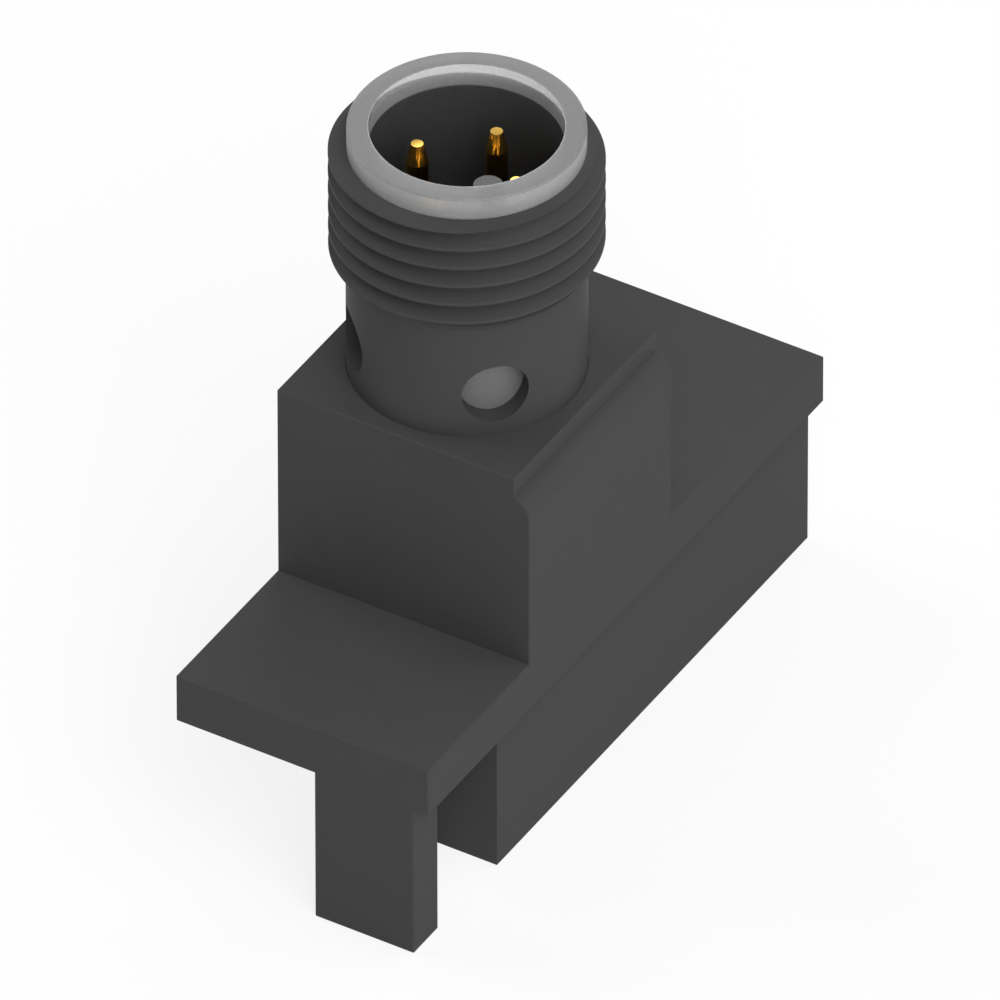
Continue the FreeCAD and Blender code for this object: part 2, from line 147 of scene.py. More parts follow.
def ramp(
    tree: bpy.types.NodeTree, value: Any, low: Any, high: Any, at_low: Any, at_high: Any
) -> bpy.types.NodeSocket:
    """Adds a clamped linear ramp.

    Args:
        tree: The tree that gets the node.
        value: What the ramp reads.
        low: The value where the ramp starts.
        high: The value where the ramp ends.
        at_low: The result at and below the start.
        at_high: The result at and above the end.

    Returns:
        The ramp's output.
    """
    inputs = {
        "Value": value,
        "From Min": low,
        "From Max": high,
        "To Min": at_low,
        "To Max": at_high,
    }
    return add_node(tree, "ShaderNodeMapRange", inputs, clamp=True).outputs["Result"]


def new_group(name: str, inputs: dict[str, str], outputs: dict[str, str]) -> bpy.types.NodeTree:
    """Makes an empty shader node group with its sockets.

    Args:
        name: The group's name.
        inputs: Socket types by input name.
        outputs: Socket types by output name.

    Returns:
        The group, with one input node and one output node.
    """
    group = bpy.data.node_groups.new(name, "ShaderNodeTree")
    for socket, kind in inputs.items():
        group.interface.new_socket(socket, in_out="INPUT", socket_type=kind)
    for socket, kind in outputs.items():
        group.interface.new_socket(socket, in_out="OUTPUT", socket_type=kind)
    group.nodes.new("NodeGroupInput")
    group.nodes.new("NodeGroupOutput")
    return group


END_SHARE = 0.9995  # share of a pin's length above which its flat end lies
FLOAT = "NodeSocketFloat"
COLOUR = "NodeSocketColor"
INTEGER = "NodeSocketInt"
GEOMETRY = "NodeSocketGeometry"
MATERIAL = "NodeSocketMaterial"


def surface_grain_group() -> bpy.types.NodeTree:
    """Makes the group for a surface with fine grain and a faint, broad mottling.

    Returns:
        A group that turns a plain colour and roughness into ones that change over the surface,
        with a height for a bump.
    """
    group = new_group(
        "surface grain",
        {"Colour": COLOUR, "Roughness": FLOAT, "Grain Size": FLOAT, "Speckle": FLOAT,
         "Mottle Size": FLOAT, "Mottle": FLOAT, "Roughness Spread": FLOAT},
        {"Colour": COLOUR, "Roughness": FLOAT, "Height": FLOAT},
    )
    given = group.nodes["Group Input"].outputs
    result = group.nodes["Group Output"].inputs
    place = add_node(group, "ShaderNodeTexCoord").outputs["Object"]
    noises = {}
    for size, detail in (("Grain Size", 2.0), ("Mottle Size", 3.0)):
        scale = calculate(group, "DIVIDE", 1.0, given[size])
        noises[size] = add_node(
            group, "ShaderNodeTexNoise", {"Vector": place, "Scale": scale, "Detail": detail}
        ).outputs["Fac"]
    fine = calculate(group, "SUBTRACT", noises["Grain Size"], 0.5)
    broad = calculate(group, "SUBTRACT", noises["Mottle Size"], 0.5)
    value = calculate(group, "MULTIPLY_ADD", fine, given["Speckle"], 1.0)
    value = calculate(group, "MULTIPLY_ADD", broad, given["Mottle"], value)
    tint = add_node(group, "ShaderNodeHueSaturation", {"Color": given["Colour"], "Value": value})
    group.links.new(tint.outputs["Color"], result["Colour"])
    rough = calculate(group, "MULTIPLY_ADD", broad, given["Roughness Spread"], given["Roughness"])
    group.links.new(rough, result["Roughness"])
    group.links.new(noises["Grain Size"], result["Height"])
    return group


def guide_zone_group() -> bpy.types.NodeTree:
    """Makes the group that tells the guide's frosted skin from its clear bore.

    Returns:
        A group with four masks. The first is 1 on the ring's side and clear rim, and 0 in the
        bore, where the black tube shows through. On the ring's top, the bore's frosted band and the
        wall behind the windows it is lower: painted shade, which darkens these places of the one
        frosted plastic. Rib is 1 on the coding rib's exposed end. Matt is 1 where the surface is
        frosted, and Covered is 1 below the tube's mouth.
    """
    group = new_group(
        "guide zones",
        {"Top Height": FLOAT, "Mouth Height": FLOAT, "Band Height": FLOAT, "Fade": FLOAT,
         "Bore Radius": FLOAT, "Rib Radius": FLOAT,
         "Painted Shade Top": FLOAT, "Painted Shade Band": FLOAT, "Painted Shade Window": FLOAT},
        {"Skin": FLOAT, "Rib": FLOAT, "Matt": FLOAT, "Covered": FLOAT},
    )
    given = group.nodes["Group Input"].outputs
    result = group.nodes["Group Output"].inputs
    place = add_node(group, "ShaderNodeTexCoord").outputs["Object"]
    axes = add_node(group, "ShaderNodeSeparateXYZ", {0: place}).outputs
    square = calculate(group, "MULTIPLY", axes[1], axes[1])
    radius = calculate(group, "SQRT", calculate(group, "MULTIPLY_ADD", axes[0], axes[0], square))
    fade_foot = calculate(group, "SUBTRACT", given["Mouth Height"], given["Fade"])
    exposed = ramp(group, axes[2], fade_foot, given["Mouth Height"], 0.0, 1.0)
    covered = calculate(group, "SUBTRACT", 1.0, exposed)
    outside = calculate(group, "GREATER_THAN", radius, given["Bore Radius"])
    in_bore = calculate(group, "LESS_THAN", radius, given["Rib Radius"])
    on_rib = calculate(group, "MULTIPLY", exposed, in_bore)
    low = calculate(group, "LESS_THAN", axes[2], given["Band Height"])
    high = calculate(group, "SUBTRACT", 1.0, low)
    on_ring = calculate(group, "SUBTRACT", exposed, on_rib)
    inner = calculate(group, "MULTIPLY", on_ring, calculate(group, "SUBTRACT", 1.0, outside))
    band = calculate(group, "MULTIPLY", inner, low)
    bare = calculate(group, "MULTIPLY", on_ring, outside)
    at_top = calculate(group, "GREATER_THAN", axes[2], given["Top Height"])
    on_top = calculate(group, "MULTIPLY", bare, at_top)
    rim = calculate(group, "MULTIPLY", inner, high)
    skin = calculate(group, "ADD", rim, calculate(group, "SUBTRACT", bare, on_top))
    # The ring's top, the bore's band and the wall behind the windows keep only a share of the
    # frosted colour; the rest is painted shade that darkens them.
    skin = calculate(group, "MULTIPLY_ADD", on_top, given["Painted Shade Top"], skin)
    skin = calculate(group, "MULTIPLY_ADD", band, given["Painted Shade Band"], skin)
    behind = calculate(group, "MULTIPLY", covered, outside)
    skin = calculate(group, "MULTIPLY_ADD", behind, given["Painted Shade Window"], skin)
    matt = calculate(group, "ADD", band, outside)
    for name, value in (("Skin", skin), ("Rib", on_rib), ("Matt", matt), ("Covered", covered)):
        group.links.new(value, result[name])
    return group


def pin_tip_group() -> bpy.types.NodeTree:
    """Makes the group for a turned pin's tip, which is rounded over and has faint tool marks.

    Returns:
        A group that gives the tip's height for a bump, and a painted shade that darkens the
        shank. It takes the tip's share of the pin's length, how far the tip falls away, how much
        the marks change that, how many marks there are and the shank's painted shade.
    """
    group = new_group(
        "pin tip",
        {"Tip Share": FLOAT, "Rounding": FLOAT, "Marks": FLOAT, "Mark Count": FLOAT,
         "Painted Shank Shade": FLOAT},
        {"Height": FLOAT, "Shade": FLOAT},
    )
    given = group.nodes["Group Input"].outputs
    result = group.nodes["Group Output"].inputs
    place = add_node(group, "ShaderNodeTexCoord").outputs["Generated"]
    axes = add_node(group, "ShaderNodeSeparateXYZ", {0: place}).outputs
    across, along = (calculate(group, "SUBTRACT", axes[i], 0.5) for i in (0, 1))
    angle = calculate(group, "ARCTAN2", along, across)
    mark_scale = calculate(group, "DIVIDE", given["Mark Count"], math.tau)
    marks = add_node(
        group,
        "ShaderNodeTexNoise",
        {"W": angle, "Scale": mark_scale, "Detail": 1.0},
        noise_dimensions="1D",
    ).outputs["Fac"]
    tip_foot = calculate(group, "SUBTRACT", 1.0, given["Tip Share"])
    climb = ramp(group, axes[2], tip_foot, 1.0, 0.0, 1.0)
    spread = calculate(group, "SUBTRACT", marks, 0.5)
    fall = calculate(group, "MULTIPLY_ADD", spread, given["Marks"], 1.0)
    fall = calculate(group, "MULTIPLY", fall, given["Rounding"])
    on_side = calculate(group, "LESS_THAN", axes[2], END_SHARE)
    height = calculate(group, "MULTIPLY", calculate(group, "MULTIPLY", climb, on_side), fall)
    height = calculate(group, "MULTIPLY", height, -1.0)
    # The shank is drawn darker than the tip: painted shade.
    on_tip = calculate(group, "GREATER_THAN", axes[2], tip_foot)
    shade = ramp(group, on_tip, 0.0, 1.0, given["Painted Shank Shade"], 1.0)
    group.links.new(height, result["Height"])
    group.links.new(shade, result["Shade"])
    return group


@dataclass
class SharedGroups:
    """The shader groups that the finishes share."""

    grain: bpy.types.NodeTree
    guide_zones: bpy.types.NodeTree
    pin_tip: bpy.types.NodeTree


# Finishes


@dataclass(frozen=True)
class Finish:
    """A surface with grain: plastic, laminate, film, ceramic or metal.

    Attributes:
        name: The material's name.
        colour: Its colour, linear.
        roughness: Its mean roughness.
        metallic: 1 for a metal.
        grain_size: Width of the fine grain, in millimetres.
        grain_depth: Height of the fine grain, in millimetres.
        speckle: How much the grain changes the colour, as a share.
        mottle_size: Width of the broad mottling, in millimetres.
        mottle: How much the mottling changes the colour, as a share.
        roughness_spread: How much the mottling changes the roughness.
        coat: Weight of a clear coat.
        gloss: Strength of the reflections; 0.5 is that of common plastic.
    """

    name: str
    colour: Colour
    roughness: float
    metallic: float = 0.0
    grain_size: float = 0.09
    grain_depth: float = 0.002
    speckle: float = 0.06
    mottle_size: float = 2.5
    mottle: float = 0.08
    roughness_spread: float = 0.12
    coat: float = 0.0
    gloss: float = 0.5

    def material(self, groups: SharedGroups) -> bpy.types.Material:
        """Builds the material.

        Args:
            groups: The shared shader groups.

        Returns:
            The new material.
        """
        material = bpy.data.materials.new(self.name)
        material.use_nodes = True
        tree = material.node_tree
        shader = tree.nodes["Principled BSDF"]
        grain = add_node(tree, "ShaderNodeGroup", node_tree=groups.grain)
        values = {
            "Colour": (*self.colour, 1.0),
            "Roughness": self.roughness,
            "Grain Size": self.grain_size * MM,
            "Speckle": self.speckle,
            "Mottle Size": self.mottle_size * MM,
            "Mottle": self.mottle,
            "Roughness Spread": self.roughness_spread,
        }
        for name, value in values.items():
            grain.inputs[name].default_value = value
        relief = {"Height": grain.outputs["Height"], "Distance": self.grain_depth * MM}
        bump = add_node(tree, "ShaderNodeBump", relief)
        tree.links.new(grain.outputs["Colour"], shader.inputs["Base Color"])
        tree.links.new(grain.outputs["Roughness"], shader.inputs["Roughness"])
        tree.links.new(bump.outputs["Normal"], shader.inputs["Normal"])
        shader.inputs["Metallic"].default_value = self.metallic
        shader.inputs["Coat Weight"].default_value = self.coat
        shader.inputs["Specular IOR Level"].default_value = self.gloss
        return material


@dataclass(frozen=True)
class GuideFinish:
    """The translucent plastic of the light guide: frosted outside, clear in its bore.

    Attributes:
        name: The material's name.
        frosted: Colour of the frosted skin, linear.
        clear: Colour of the bore, where the black tube shows through.
        rib: Colour of the coding rib.
        roughness: Roughness of the clear surfaces.
        frosting: Roughness of the frosted skin.
        transmission: Share of the light that goes through.
        refraction: Index of refraction.
        gloss: Strength of the reflections; 0.5 is that of common plastic.
        grain_size: Width of the frosting's grain, in millimetres.
        speckle: How much the grain changes the colour, as a share.
        mottle_size: Width of the broad mottling, in millimetres.
        mottle: How much the mottling changes the colour, as a share.
        fade: Height over which the frosting fades at the tube's mouth, in millimetres.
        edge: Height of the ring's bevelled edge, which looks as its top does, in millimetres.
        rim_depth: Depth of the bore's clear rim above its frosted band, in millimetres.
        painted_shade_top: Frosted colour kept on the ring's top; the rest is painted shade.
        painted_shade_band: The same for the bore's band.
        painted_shade_window: The same for the wall behind the windows.
    """

    name: str = "frosted guide plastic"
    frosted: Colour = (0.78, 0.785, 0.79)
    clear: Colour = (0.115, 0.115, 0.117)
    rib: Colour = (0.05, 0.05, 0.051)
    roughness: float = 0.05
    frosting: float = 0.5
    transmission: float = 0.7
    refraction: float = 1.5
    gloss: float = 0.25
    grain_size: float = 0.06
    speckle: float = 0.5
    mottle_size: float = 0.18
    mottle: float = 0.25
    fade: float = 0.12
    edge: float = 0.09
    rim_depth: float = 0.42
    painted_shade_top: float = 0.56
    painted_shade_band: float = 0.7
    painted_shade_window: float = 0.51

    def material(
        self, groups: SharedGroups, top: float, mouth: float, outer: float, inner: float
    ) -> bpy.types.Material:
        """Builds the material.

        Args:
            groups: The shared shader groups.
            top: Height of the guide's ring, in metres.
            mouth: Height of the tube's mouth, in metres.
            outer: A radius just outside the chamber's wall, in metres.
            inner: A radius just inside it, in metres.

        Returns:
            The new material.
        """
        material = bpy.data.materials.new(self.name)
        material.use_nodes = True
        tree = material.node_tree
        shader = tree.nodes["Principled BSDF"]
        zone_values = {
            "Top Height": top - self.edge * MM,
            "Mouth Height": mouth,
            "Band Height": top - self.rim_depth * MM,
            "Fade": self.fade * MM,
            "Bore Radius": outer,
            "Rib Radius": inner,
            "Painted Shade Top": self.painted_shade_top,
            "Painted Shade Band": self.painted_shade_band,
            "Painted Shade Window": self.painted_shade_window,
        }
        zones = add_node(tree, "ShaderNodeGroup", node_tree=groups.guide_zones)
        for name, value in zone_values.items():
            zones.inputs[name].default_value = value
        # Where the first zone mask is below 1, on the ring's top, the bore's band and the wall
        # behind the windows, the bore's dark colour mixed in is painted shade.
        base = add_node(
            tree,
            "ShaderNodeMix",
            {"Factor": zones.outputs["Skin"], 6: (*self.clear, 1.0), 7: (*self.frosted, 1.0)},
            data_type="RGBA",
        )
        grain = add_node(tree, "ShaderNodeGroup", node_tree=groups.grain)
        grain_values = {
            "Grain Size": self.grain_size * MM,
            "Speckle": self.speckle,
            "Mottle Size": self.mottle_size * MM,
            "Mottle": self.mottle,
            "Roughness Spread": 0.0,
        }
        for name, value in grain_values.items():
            grain.inputs[name].default_value = value
        inside = add_node(tree, "ShaderNodeNewGeometry").outputs["Backfacing"]
        frost = add_node(
            tree,
            "ShaderNodeMix",
            {0: inside, 2: zones.outputs["Matt"], 3: zones.outputs["Covered"]},
            data_type="FLOAT",
        ).outputs[0]
        rough = ramp(tree, frost, 0.0, 1.0, self.roughness, self.frosting)
        tree.links.new(rough, grain.inputs["Roughness"])
        colour = add_node(
            tree,
            "ShaderNodeMix",
            {"Factor": zones.outputs["Rib"], 6: base.outputs[2], 7: (*self.rib, 1.0)},
            data_type="RGBA",
        ).outputs[2]
        tree.links.new(colour, grain.inputs["Colour"])
        tree.links.new(grain.outputs["Colour"], shader.inputs["Base Color"])
        tree.links.new(grain.outputs["Roughness"], shader.inputs["Roughness"])
        shader.inputs["Transmission Weight"].default_value = self.transmission
        shader.inputs["IOR"].default_value = self.refraction
        shader.inputs["Specular IOR Level"].default_value = self.gloss
        return material


@dataclass(frozen=True)
class PinFinish:
    """The gold of the turned contact pins.

    Attributes:
        name: The material's name.
        colour: Its colour, linear.
        roughness: Its roughness.
        tip_length: Length of the pin's tapered tip, in millimetres.
        rounding: How far the tip looks rounded over, in millimetres.
        marks: How much the tool marks change that, as a share.
        mark_count: How many marks there are round the tip.
        painted_shank_shade: Brightness of the shank as a share of the tip's: painted shade.
    """

    name: str = "gold plate"
    colour: Colour = (0.98, 0.6, 0.13)
    roughness: float = 0.16
    tip_length: float = 0.95
    rounding: float = 0.07
    marks: float = 2.0
    mark_count: float = 14.0
    painted_shank_shade: float = 0.7

    def material(self, groups: SharedGroups, length: float) -> bpy.types.Material:
        """Builds the material.

        Args:
            groups: The shared shader groups.
            length: The pins' length, in millimetres.

        Returns:
            The new material.
        """
        material = bpy.data.materials.new(self.name)
        material.use_nodes = True
        tree = material.node_tree
        shader = tree.nodes["Principled BSDF"]
        values = {
            "Tip Share": self.tip_length / length,
            "Rounding": self.rounding * MM,
            "Marks": self.marks,
            "Mark Count": self.mark_count,
            "Painted Shank Shade": self.painted_shank_shade,
        }
        tip = add_node(tree, "ShaderNodeGroup", node_tree=groups.pin_tip)
        for name, value in values.items():
            tip.inputs[name].default_value = value
        # The gold is darkened on the shank by the tip group's shade: painted shade.
        shaded = {"Color": (*self.colour, 1.0), "Value": tip.outputs["Shade"]}
        tint = add_node(tree, "ShaderNodeHueSaturation", shaded)
        bump = add_node(tree, "ShaderNodeBump", {"Height": tip.outputs["Height"], "Distance": 1.0})
        tree.links.new(tint.outputs["Color"], shader.inputs["Base Color"])
        tree.links.new(bump.outputs["Normal"], shader.inputs["Normal"])
        shader.inputs["Roughness"].default_value = self.roughness
        shader.inputs["Metallic"].default_value = 1.0
        return material


HOUSING_PLASTIC = Finish("housing plastic", (0.055, 0.055, 0.056), 0.5, gloss=0.02)
TUBE_PLASTIC = Finish("tube plastic", (0.055, 0.055, 0.056), 0.5, grain_size=0.08, gloss=0.02)
BOARD_LAMINATE = Finish(
    "solder mask", (0.02, 0.14, 0.055), 0.35, mottle_size=1.0, mottle=0.2, coat=0.4
)
LED_RESIN = Finish("light resin", (0.82, 0.78, 0.6), 0.25, mottle_size=0.4)
FLEX_FILM = Finish("amber film", (0.5, 0.21, 0.035), 0.3, mottle_size=0.6, mottle=0.15)
CHIP_MOULD = Finish("chip moulding", (0.02, 0.02, 0.022), 0.6, grain_depth=0.004, speckle=0.2)
CAPACITOR_CERAMIC = Finish("tan ceramic", (0.4, 0.26, 0.13), 0.5, mottle_size=0.4, mottle=0.15)
RESISTOR_CERAMIC = Finish("dark ceramic", (0.045, 0.045, 0.05), 0.4, mottle_size=0.4)
CASTING_RESIN = Finish("casting resin", (0.03, 0.03, 0.03), 0.3, mottle_size=1.5, mottle=0.2)


# Meshes


def turned_mesh(name: str, profile: Sequence[Corner], columns: int) -> bpy.types.Mesh:
    """Makes a closed mesh turned about the Z axis, in millimetres.

    Args:
        name: The mesh's name.
        profile: Corners of its section as radius and height, anticlockwise, without repeats.
        columns: Facets round the axis.

    Returns:
        The mesh.
    """
    shell = bmesh.new()
    rings = []
    for radius, height in profile:
        ring = []
        for i in range(columns):
            angle = math.tau * i / columns
            corner = (radius * math.cos(angle), radius * math.sin(angle), height)
            ring.append(shell.verts.new(corner))
        rings.append(ring)
    for lower, upper in zip(rings, rings[1:] + rings[:1]):
        for i in range(columns):
            j = (i + 1) % columns
            shell.faces.new((lower[i], lower[j], upper[j], upper[i]))
    mesh = bpy.data.meshes.new(name)
    shell.to_mesh(mesh)
    shell.free()
    return mesh


class SolidTree:
    """A Geometry Nodes tree under construction, with named inputs for its sizes."""

    def __init__(self, name: str) -> None:
        """Makes the tree with its geometry input and output.

        Args:
            name: The tree's name.
        """
        self.tree = bpy.data.node_groups.new(name, "GeometryNodeTree")
        self.tree.interface.new_socket("Geometry", in_out="INPUT", socket_type=GEOMETRY)
        self.tree.interface.new_socket("Geometry", in_out="OUTPUT", socket_type=GEOMETRY)
        self.given = self.tree.nodes.new("NodeGroupInput")
        self.result = self.tree.nodes.new("NodeGroupOutput")

    def input(self, name: str, kind: str = FLOAT) -> bpy.types.NodeSocket:
        """Adds a named input and returns its socket inside the tree."""
        self.tree.interface.new_socket(name, in_out="INPUT", socket_type=kind)
        return self.given.outputs[name]

    def add(self, kind: str, inputs: Optional[dict] = None, **settings: Any) -> bpy.types.Node:
        """Adds a node; the arguments are those of add_node."""
        return add_node(self.tree, kind, inputs, **settings)

    def math(self, operation: str, *values: Any) -> bpy.types.NodeSocket:
        """Adds a Math node; the arguments are those of calculate."""
        return calculate(self.tree, operation, *values)

    def whole(self, value: bpy.types.NodeSocket) -> bpy.types.NodeSocket:
        """Rounds a number to a whole one."""
        return self.add("FunctionNodeFloatToInt", {0: value}, rounding_mode="ROUND").outputs[0]

    def choose(self, condition: Any, if_false: Any, if_true: Any) -> bpy.types.NodeSocket:
        """Picks one of two numbers by a condition."""
        inputs = {"Switch": condition, "False": if_false, "True": if_true}
        return self.add("GeometryNodeSwitch", inputs, input_type="FLOAT").outputs[0]

    def apply(self, source: bpy.types.Object, values: dict[str, Any], name: str) -> bpy.types.Mesh:
        """Runs the tree on an object and returns the result as a plain mesh.

        Args:
            source: The object that the tree changes. It is removed afterwards.
            values: The tree's inputs, by name.
            name: The new mesh's name.

        Returns:
            The result.
        """
        modifier = source.modifiers.new(self.tree.name, "NODES")
        modifier.node_group = self.tree
        for item in self.tree.interface.items_tree:
            if item.in_out == "INPUT" and item.name in values:
                modifier[item.identifier] = values[item.name]
        depsgraph = bpy.context.evaluated_depsgraph_get()
        depsgraph.update()
        mesh = bpy.data.meshes.new_from_object(source.evaluated_get(depsgraph))
        mesh.name = name
        source.modifiers.remove(modifier)
        bpy.data.objects.remove(source)
        return mesh


def show(name: str, mesh: bpy.types.Mesh) -> bpy.types.Object:
    """Links a mesh to the scene as an object at the origin.

    Args:
        name: The object's name.
        mesh: Its mesh, with its place in its vertices.

    Returns:
        The object.
    """
    made = bpy.data.objects.new(name, mesh)
    bpy.context.scene.collection.objects.link(made)
    return made


# Sub-assemblies


@dataclass
class Frame:
    """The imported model.

    Attributes:
        nodes: Its nodes, by name.
        slots: The material slot that the record gives each node.
    """

    nodes: dict[str, bpy.types.Object]
    slots: dict[str, str]

    def dress(self, material: bpy.types.Material, slot: Slot) -> None:
        """Gives the nodes of a material slot their material.

        Args:
            material: The material.
            slot: The slot.
        """
        for name in (node for node, given in self.slots.items() if given == slot.value):
            materials = self.nodes[name].data.materials
            materials.clear()
            materials.append(material)
            LOG.info("%s: %s", name, material.name)


@dataclass
class ThreadedTube:
    """The connector's tube, with its thread and the four windows. Sizes are in millimetres.

    Attributes:
        radius: Radius of the plain tube under the thread.
        foot_bore: Radius of the bore at the foot.
        bore: Radius of the bore behind the windows.
        rim_bore: Radius of the bore at the mouth.
        rim_radius: Radius where the bevel of the first turn meets the ring.
        top_bevel: Height of that bevel.
        foot_bevel: Height of the bevel under the last turn.
        neck_radius: Radius where that bevel ends.
        neck_taper: Height over which the neck narrows to the plain tube.
        thread_length: Length of the thread.
        lining_depth: Depth of the wide bore under the mouth.
        board_step: Height above the foot where the foot's bore ends.
        pitch: Rise of the thread in one turn.
        groove_root: Radius at the bottom of the groove.
        flank_foot: Radius where the straight flanks end.
        root_share: Half the width of the rounded root, as a share of the pitch.
        flank_share: Width of a flank, as a share of the pitch.
        crest_height: Height above the block of a crest's lower edge at angle zero.
        window_radius: Radius of a window.
        window_height: Height of the windows' centre above the block.
        window_angle: Angle of the first window, in degrees.
        windows: How many windows there are, evenly spaced.
        drill_inset: Depth of the drills' middle under the tube's surface.
        drill_length: Length of a drill.
        drill_columns: Facets round a drill.
        root_middle: Middle of the root above a crest's lower edge, as a share of the pitch.
        spare_turns: Turns of the cutter's grid below its foot, where its rows close up.
        cutter_dip: How far the cutter reaches down the neck's taper, as a share of it.
        cutter_rise: How far it reaches above the tube, as a share of the pitch.
        cutter_wall: How far it reaches outside the crests.
        weld: Distance under which the cutter's corners are merged.
        sharp_angle: Angle from which an edge is drawn sharp, in degrees.
        columns: Facets round the axis.
        rows_per_turn: Facets along one pitch. Sixteen put a row on each corner of the profile.
    """

    radius: float = 5.25
    foot_bore: float = 4.6
    bore: float = 4.35
    rim_bore: float = 4.9
    rim_radius: float = 5.2
    top_bevel: float = 0.15
    foot_bevel: float = 0.38
    neck_radius: float = 5.46
    neck_taper: float = 0.37
    thread_length: float = 5.3
    lining_depth: float = 7.9
    board_step: float = 3.3
    pitch: float = 1.0
    groove_root: float = 5.387
    flank_foot: float = 5.459
    root_share: float = 0.125
    flank_share: float = 0.3125
    crest_height: float = 11.964
    window_radius: float = 1.5
    window_height: float = 2.2
    window_angle: float = 45.0
    windows: int = 4
    drill_inset: float = 0.75
    drill_length: float = 4.0
    drill_columns: int = 96
    root_middle: float = 0.5625
    spare_turns: float = 1.1
    cutter_dip: float = 0.6
    cutter_rise: float = 0.6
    cutter_wall: float = 0.6
    weld: float = 0.0004
    sharp_angle: float = 25.0
    columns: int = 256
    rows_per_turn: int = 16

    def blank(self, low: Vector, high: Vector) -> bpy.types.Mesh:
        """Turns the tube before its thread and windows are cut.

        Args:
            low: Lowest corner of the CAD tube's box, in millimetres.
            high: Its highest corner.

        Returns:
            The mesh, in millimetres.
        """
        foot, top, crest = low.z, high.z, high.x
        thread_foot = top - self.thread_length
        neck_top = thread_foot - self.foot_bevel
        profile = (
            (self.foot_bore, foot),
            (self.radius, foot),
            (self.radius, neck_top - self.neck_taper),
            (self.neck_radius, neck_top),
            (crest, thread_foot),
            (crest, top - self.top_bevel),
            (self.rim_radius, top),
            (self.rim_bore, top),
            (self.rim_bore, top - self.lining_depth),
            (self.bore, top - self.lining_depth),
            (self.bore, foot + self.board_step),
            (self.foot_bore, foot + self.board_step),
        )
        return turned_mesh("tube blank", profile, self.columns)

    def groove_cutter(self, solid: SolidTree) -> bpy.types.NodeSocket:
        """Adds the nodes of the cutter for the thread's groove: a sleeve whose bore is the thread.

        Each row of the sleeve's grid climbs with the helix, so that rows lie on the crests and
        roots. Above and below the thread the rows close up on flat ends. The first row and the
        last two are the sleeve's outer wall.

        Args:
            solid: The tree that gets the nodes.

        Returns:
            The cutter's geometry.
        """
        names = ("Pitch", "Flank Foot", "Groove Root", "Flank Slope", "Root Share", "Crest Height",
                 "Cutter Foot", "Cutter Top", "Cutter Radius")
        sizes = [solid.input(name) for name in names]
        pitch, flank_foot, root, slope, root_share, crest, foot, top, outer = sizes
        columns = solid.input("Columns", INTEGER)
        rows_per_turn = solid.input("Rows Per Turn", INTEGER)
        wall_rows = 3.0

        drop = solid.math("DIVIDE", solid.math("SUBTRACT", crest, foot), pitch)
        turns_down = solid.math("CEIL", solid.math("ADD", drop, self.spare_turns))
        base = solid.math("SUBTRACT", crest, solid.math("MULTIPLY", turns_down, pitch))
        turns = solid.math("CEIL", solid.math("DIVIDE", solid.math("SUBTRACT", top, base), pitch))
        last = solid.math("ADD", solid.math("MULTIPLY", turns, rows_per_turn), wall_rows)
        grid = solid.add(
            "GeometryNodeMeshGrid",
            {
                "Size X": 1.0,
                "Size Y": 1.0,
                "Vertices X": solid.whole(solid.math("ADD", columns, 1.0)),
                "Vertices Y": solid.whole(solid.math("ADD", last, 1.0)),
            },
        ).outputs["Mesh"]

        corner = solid.add("GeometryNodeInputPosition").outputs[0]
        place = solid.add("ShaderNodeSeparateXYZ", {0: corner}).outputs
        half_column = solid.math("DIVIDE", 0.5, columns)
        turn = solid.math("ADD", solid.math("ADD", place[0], 0.5), half_column)
        row = solid.math("ROUND", solid.math("MULTIPLY", solid.math("ADD", place[1], 0.5), last))
        risen = solid.math("DIVIDE", solid.math("SUBTRACT", row, 1.0), rows_per_turn)
        climb = solid.math("ADD", risen, turn)
        raw = solid.math("MULTIPLY_ADD", climb, pitch, base)
        height = solid.math("MAXIMUM", foot, solid.math("MINIMUM", top, raw))

        climbed = solid.math("DIVIDE", solid.math("SUBTRACT", height, base), pitch)
        share = solid.math("FRACT", solid.math("SUBTRACT", climbed, turn))
        from_root = solid.math("ABSOLUTE", solid.math("SUBTRACT", share, self.root_middle))
        on_flank = solid.math("MAXIMUM", 0.0, solid.math("SUBTRACT", from_root, root_share))
        flank = solid.math("MULTIPLY_ADD", on_flank, slope, flank_foot)
        in_root = solid.math("MINIMUM", 1.0, solid.math("DIVIDE", from_root, root_share))
        dip = solid.math("SUBTRACT", 1.0, solid.math("MULTIPLY", in_root, in_root))
        depth = solid.math("MULTIPLY", dip, solid.math("SUBTRACT", flank_foot, root))
        bore = solid.math("SUBTRACT", flank, depth)

        is_first = solid.math("LESS_THAN", row, 0.5)
        is_last = solid.math("GREATER_THAN", row, solid.math("SUBTRACT", last, 0.5))
        is_low = solid.math("MAXIMUM", is_first, is_last)
        is_late = solid.math("GREATER_THAN", row, solid.math("SUBTRACT", last, 1.5))
        is_outer = solid.math("MAXIMUM", is_first, is_late)
        final_height = solid.choose(is_low, solid.choose(is_outer, height, top), foot)
        radius = solid.choose(is_outer, bore, outer)
        angle = solid.math("MULTIPLY", turn, math.tau)
        position = solid.add(
            "ShaderNodeCombineXYZ",
            {
                0: solid.math("MULTIPLY", radius, solid.math("COSINE", angle)),
                1: solid.math("MULTIPLY", radius, solid.math("SINE", angle)),
                2: final_height,
            },
        ).outputs[0]
        placed = {"Geometry": grid, "Position": position}
        moved = solid.add("GeometryNodeSetPosition", placed).outputs[0]
        weld = {"Geometry": moved, "Distance": self.weld}
        welded = solid.add("GeometryNodeMergeByDistance", weld).outputs[0]
        return solid.add("GeometryNodeFlipFaces", {0: welded}).outputs[0]

